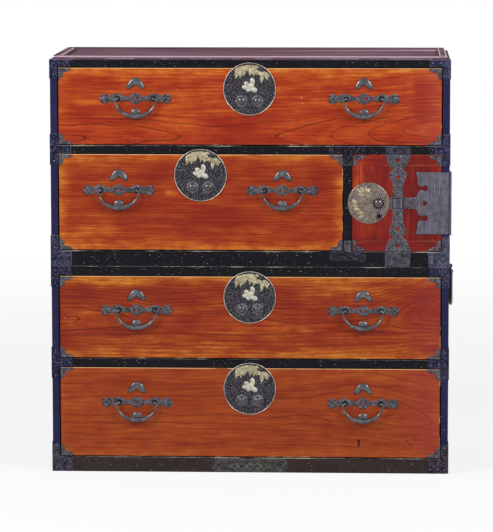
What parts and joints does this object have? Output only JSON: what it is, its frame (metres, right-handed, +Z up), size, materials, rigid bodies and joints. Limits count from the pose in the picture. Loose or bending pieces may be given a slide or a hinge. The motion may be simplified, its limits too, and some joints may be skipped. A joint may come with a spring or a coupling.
{
  "type": "clothing chest",
  "caption": "Two-part wooden clothing chest with iron-bound corners, stacked drawers with hanging pulls, a small hinged door and side carrying handles.",
  "frame": {"origin": "on the floor, midway between the sides and midway between the front and back faces of the case", "axes": "+X to the right seen from the front, +Y to the back, +Z up; the fronts face -Y"},
  "size_m": [1.13, 0.4565, 1.159],
  "materials": {
    "frame_lacquer": "gloss black lacquer",
    "front_lacquer": "clear red-brown lacquer over grain",
    "top_lacquer": "worn maroon lacquer",
    "plain_wood": "bare planed softwood",
    "iron": "dark forged iron, rubbed at edges",
    "brass": "aged pale brass"
  },
  "bodies": {
    "lower_case": {"lower_side_left": "frame_lacquer", "lower_side_right": "frame_lacquer", "lower_top_board": "frame_lacquer", "lower_back_board": "plain_wood", "lower_shelf": "frame_lacquer", "lower_base_rail": "frame_lacquer", "lower_base_board": "frame_lacquer", "lower_irons": "iron", "lower_base_plate": "iron"},
    "upper_case": {"upper_side_left": "frame_lacquer", "upper_side_right": "frame_lacquer", "upper_top_board": "top_lacquer", "upper_back_board": "plain_wood", "upper_shelf": "frame_lacquer", "upper_base_rail": "frame_lacquer", "upper_base_board": "frame_lacquer", "upper_partition": "frame_lacquer", "upper_lip": "top_lacquer", "upper_irons": "iron", "upper_hinge_leaf": "iron", "hinge_pin": "iron"},
    "drawer_one": {"drawer_one_front": "front_lacquer", "drawer_one_box": "plain_wood", "drawer_one_lock": "iron", "drawer_one_irons": "iron"},
    "drawer_one_bolt": {"drawer_one_bolt": "iron"},
    "drawer_one_bail_left": {"drawer_one_bail_left": "iron"},
    "drawer_one_bail_right": {"drawer_one_bail_right": "iron"},
    "drawer_two": {"drawer_two_front": "front_lacquer", "drawer_two_box": "plain_wood", "drawer_two_lock": "iron", "drawer_two_irons": "iron"},
    "drawer_two_bolt": {"drawer_two_bolt": "iron"},
    "drawer_two_bail_left": {"drawer_two_bail_left": "iron"},
    "drawer_two_bail_right": {"drawer_two_bail_right": "iron"},
    "drawer_three": {"drawer_three_front": "front_lacquer", "drawer_three_box": "plain_wood", "drawer_three_lock": "iron", "drawer_three_irons": "iron"},
    "drawer_three_bolt": {"drawer_three_bolt": "iron"},
    "drawer_three_bail_left": {"drawer_three_bail_left": "iron"},
    "drawer_three_bail_right": {"drawer_three_bail_right": "iron"},
    "drawer_four": {"drawer_four_front": "front_lacquer", "drawer_four_box": "plain_wood", "drawer_four_lock": "iron", "drawer_four_irons": "iron"},
    "drawer_four_bolt": {"drawer_four_bolt": "iron"},
    "drawer_four_bail_left": {"drawer_four_bail_left": "iron"},
    "drawer_four_bail_right": {"drawer_four_bail_right": "iron"},
    "door": {"door_panel": "front_lacquer", "door_irons": "iron", "door_lock": "brass", "door_hinge_leaf": "iron"},
    "door_bolt": {"door_bolt": "iron"},
    "inner_drawer_lower": {"inner_drawer_lower": "plain_wood"},
    "inner_drawer_upper": {"inner_drawer_upper": "plain_wood"},
    "lower_handle_left": {"lower_handle_left": "iron"},
    "lower_handle_right": {"lower_handle_right": "iron"}
  },
  "joints": [
    {"name": "upper_case_lift", "type": "slide", "parent": "lower_case", "child": "upper_case", "axis": [0, 0, 1], "range_m": [0, 0.3]},
    {"name": "drawer_one_slide", "type": "slide", "parent": "upper_case", "child": "drawer_one", "axis": [0, -1, 0], "range_m": [0, 0.34]},
    {"name": "drawer_one_bolt_throw", "type": "slide", "parent": "drawer_one", "child": "drawer_one_bolt", "axis": [0, 0, 1], "range_m": [0, 0.008]},
    {"name": "drawer_one_bail_left_swing", "type": "hinge", "parent": "drawer_one", "child": "drawer_one_bail_left", "pos_m": [-0.314, -0.231, 1.0425], "axis": [-1, 0, 0], "range_deg": [0, 160]},
    {"name": "drawer_one_bail_right_swing", "type": "hinge", "parent": "drawer_one", "child": "drawer_one_bail_right", "pos_m": [0.314, -0.231, 1.0425], "axis": [-1, 0, 0], "range_deg": [0, 160]},
    {"name": "drawer_two_slide", "type": "slide", "parent": "upper_case", "child": "drawer_two", "axis": [0, -1, 0], "range_m": [0, 0.34]},
    {"name": "drawer_two_bolt_throw", "type": "slide", "parent": "drawer_two", "child": "drawer_two_bolt", "axis": [0, 0, 1], "range_m": [0, 0.008]},
    {"name": "drawer_two_bail_left_swing", "type": "hinge", "parent": "drawer_two", "child": "drawer_two_bail_left", "pos_m": [-0.3615, -0.231, 0.7895], "axis": [-1, 0, 0], "range_deg": [0, 160]},
    {"name": "drawer_two_bail_right_swing", "type": "hinge", "parent": "drawer_two", "child": "drawer_two_bail_right", "pos_m": [0.0905, -0.231, 0.7895], "axis": [-1, 0, 0], "range_deg": [0, 160]},
    {"name": "drawer_three_slide", "type": "slide", "parent": "lower_case", "child": "drawer_three", "axis": [0, -1, 0], "range_m": [0, 0.34]},
    {"name": "drawer_three_bolt_throw", "type": "slide", "parent": "drawer_three", "child": "drawer_three_bolt", "axis": [0, 0, 1], "range_m": [0, 0.008]},
    {"name": "drawer_three_bail_left_swing", "type": "hinge", "parent": "drawer_three", "child": "drawer_three_bail_left", "pos_m": [-0.314, -0.231, 0.4555], "axis": [-1, 0, 0], "range_deg": [0, 160]},
    {"name": "drawer_three_bail_right_swing", "type": "hinge", "parent": "drawer_three", "child": "drawer_three_bail_right", "pos_m": [0.314, -0.231, 0.4555], "axis": [-1, 0, 0], "range_deg": [0, 160]},
    {"name": "drawer_four_slide", "type": "slide", "parent": "lower_case", "child": "drawer_four", "axis": [0, -1, 0], "range_m": [0, 0.34]},
    {"name": "drawer_four_bolt_throw", "type": "slide", "parent": "drawer_four", "child": "drawer_four_bolt", "axis": [0, 0, 1], "range_m": [0, 0.008]},
    {"name": "drawer_four_bail_left_swing", "type": "hinge", "parent": "drawer_four", "child": "drawer_four_bail_left", "pos_m": [-0.314, -0.231, 0.1965], "axis": [-1, 0, 0], "range_deg": [0, 160]},
    {"name": "drawer_four_bail_right_swing", "type": "hinge", "parent": "drawer_four", "child": "drawer_four_bail_right", "pos_m": [0.314, -0.231, 0.1965], "axis": [-1, 0, 0], "range_deg": [0, 160]},
    {"name": "door_swing", "type": "hinge", "parent": "upper_case", "child": "door", "pos_m": [0.5524, -0.2224, 0.756], "axis": [0, 0, 1], "range_deg": [0, 170]},
    {"name": "door_bolt_throw", "type": "slide", "parent": "door", "child": "door_bolt", "axis": [-1, 0, 0], "range_m": [0, 0.008]},
    {"name": "inner_drawer_lower_slide", "type": "slide", "parent": "upper_case", "child": "inner_drawer_lower", "axis": [0, -1, 0], "range_m": [0, 0.1]},
    {"name": "inner_drawer_upper_slide", "type": "slide", "parent": "upper_case", "child": "inner_drawer_upper", "axis": [0, -1, 0], "range_m": [0, 0.1]},
    {"name": "lower_handle_left_swing", "type": "hinge", "parent": "lower_case", "child": "lower_handle_left", "pos_m": [-0.5595, 0, 0.548], "axis": [0, 1, 0], "range_deg": [0, 150]},
    {"name": "lower_handle_right_swing", "type": "hinge", "parent": "lower_case", "child": "lower_handle_right", "pos_m": [0.5595, 0, 0.548], "axis": [0, -1, 0], "range_deg": [0, 150]}
  ],
  "couplings": [
    {"joint": "inner_drawer_lower_slide", "follows": "door_swing", "m_per_rad": 0.0337},
    {"joint": "inner_drawer_upper_slide", "follows": "door_swing", "m_per_rad": 0.0337}
  ]
}
